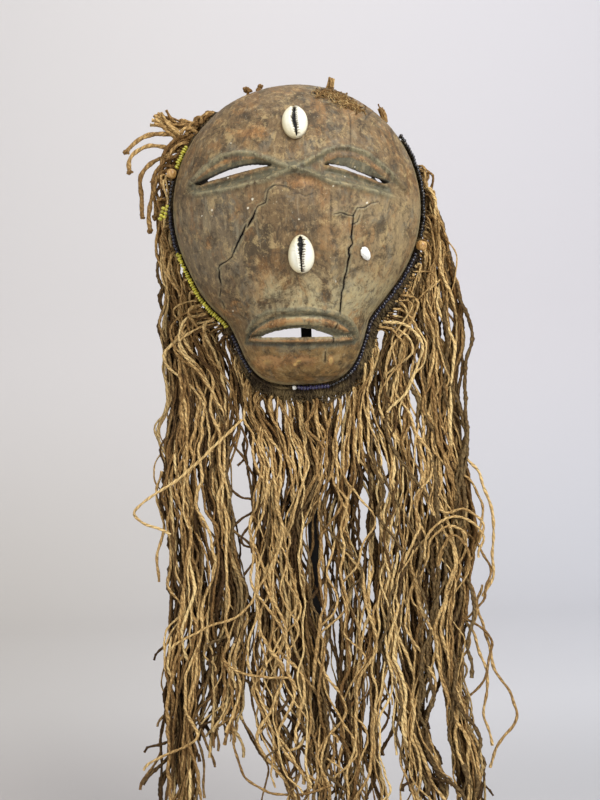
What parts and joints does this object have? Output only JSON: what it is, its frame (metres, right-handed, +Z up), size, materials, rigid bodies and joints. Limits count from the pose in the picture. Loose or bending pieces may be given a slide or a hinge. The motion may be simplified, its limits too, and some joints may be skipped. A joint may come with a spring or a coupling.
{
  "type": "gourd mask",
  "caption": "Pear-shaped gourd mask with carved slit eyes and lips, cowrie shells, a beaded rim and a long fringe of twisted fibre cords, on a square rod stand.",
  "frame": {"origin": "centre of the stand plate's underside, under the rod's axis plane; the gourd's rim lies in the plane y = 0", "axes": "+Z up, the face looks along -Y, +X is the viewer's right"},
  "size_m": [0.2848, 0.15, 0.6312],
  "materials": {
    "gourd": "dark smoked gourd skin, worn matt, paler on the cheek and lips",
    "cowrie": "smooth ivory shell",
    "chip": "smooth white chip",
    "band": "dark knotted fibre",
    "bead_yellow": "opaque yellow glass",
    "bead_blue": "dark blue glass",
    "bead_black": "black glass",
    "bead_violet": "violet blue glass",
    "bead_white": "white glass",
    "wooden_bead": "polished light wood",
    "dark_cord": "dark waxed cord",
    "cord": "two-ply twisted vegetable fibre, dry and frayed",
    "frayed_fibre": "frayed fibre wad",
    "stand": "satin black paint"
  },
  "bodies": {
    "root": {"gourd_face": "gourd", "forehead_cowrie": "cowrie", "nose_cowrie": "cowrie", "cheek_chip": "chip", "fringe_band": "band", "beads_yellow_temple": "bead_yellow", "beads_black_left": "bead_black", "beads_blue_left": "bead_blue", "beads_yellow_cheek": "bead_yellow", "beads_blue_jaw_left": "bead_blue", "rim_cord_chin": "dark_cord", "beads_violet_chin": "bead_violet", "beads_black_chin": "bead_black", "beads_blue_jaw_right": "bead_blue", "beads_blue_right": "bead_blue", "beads_black_right": "bead_black", "wooden_bead_left": "wooden_bead", "wooden_bead_right": "wooden_bead", "white_bead_chin": "bead_white", "bead_tassel_yellow": "bead_yellow", "bead_tie_knot": "dark_cord", "fringe_left_lock_1": "cord", "fringe_left_lock_2": "cord", "fringe_left_inner_lock_1": "cord", "fringe_left_inner_lock_2": "cord", "fringe_centre_lock_1": "cord", "fringe_centre_lock_2": "cord", "fringe_centre_lock_3": "cord", "fringe_centre_right_lock_1": "cord", "fringe_centre_right_lock_2": "cord", "fringe_right_inner_lock_1": "cord", "fringe_right_inner_lock_2": "cord", "fringe_right_lock_1": "cord", "fringe_right_lock_2": "cord", "temple_clump": "cord", "temple_cord_1": "cord", "temple_cord_2": "cord", "temple_cord_3": "cord", "temple_cord_4": "cord", "temple_cord_5": "cord", "stray_cord_left_loop": "cord", "stray_cord_left_end": "cord", "stray_cord_right_shoulder": "cord", "stray_cord_right_loop": "cord", "stray_cord_right_inner": "cord", "rim_cord_stub_1": "cord", "rim_cord_stub_2": "cord", "rim_cord_stub_3": "cord", "rim_cord_stub_4": "cord", "frayed_patch": "frayed_fibre", "stand_rod": "stand", "stand_base": "stand"}
  },
  "joints": []
}
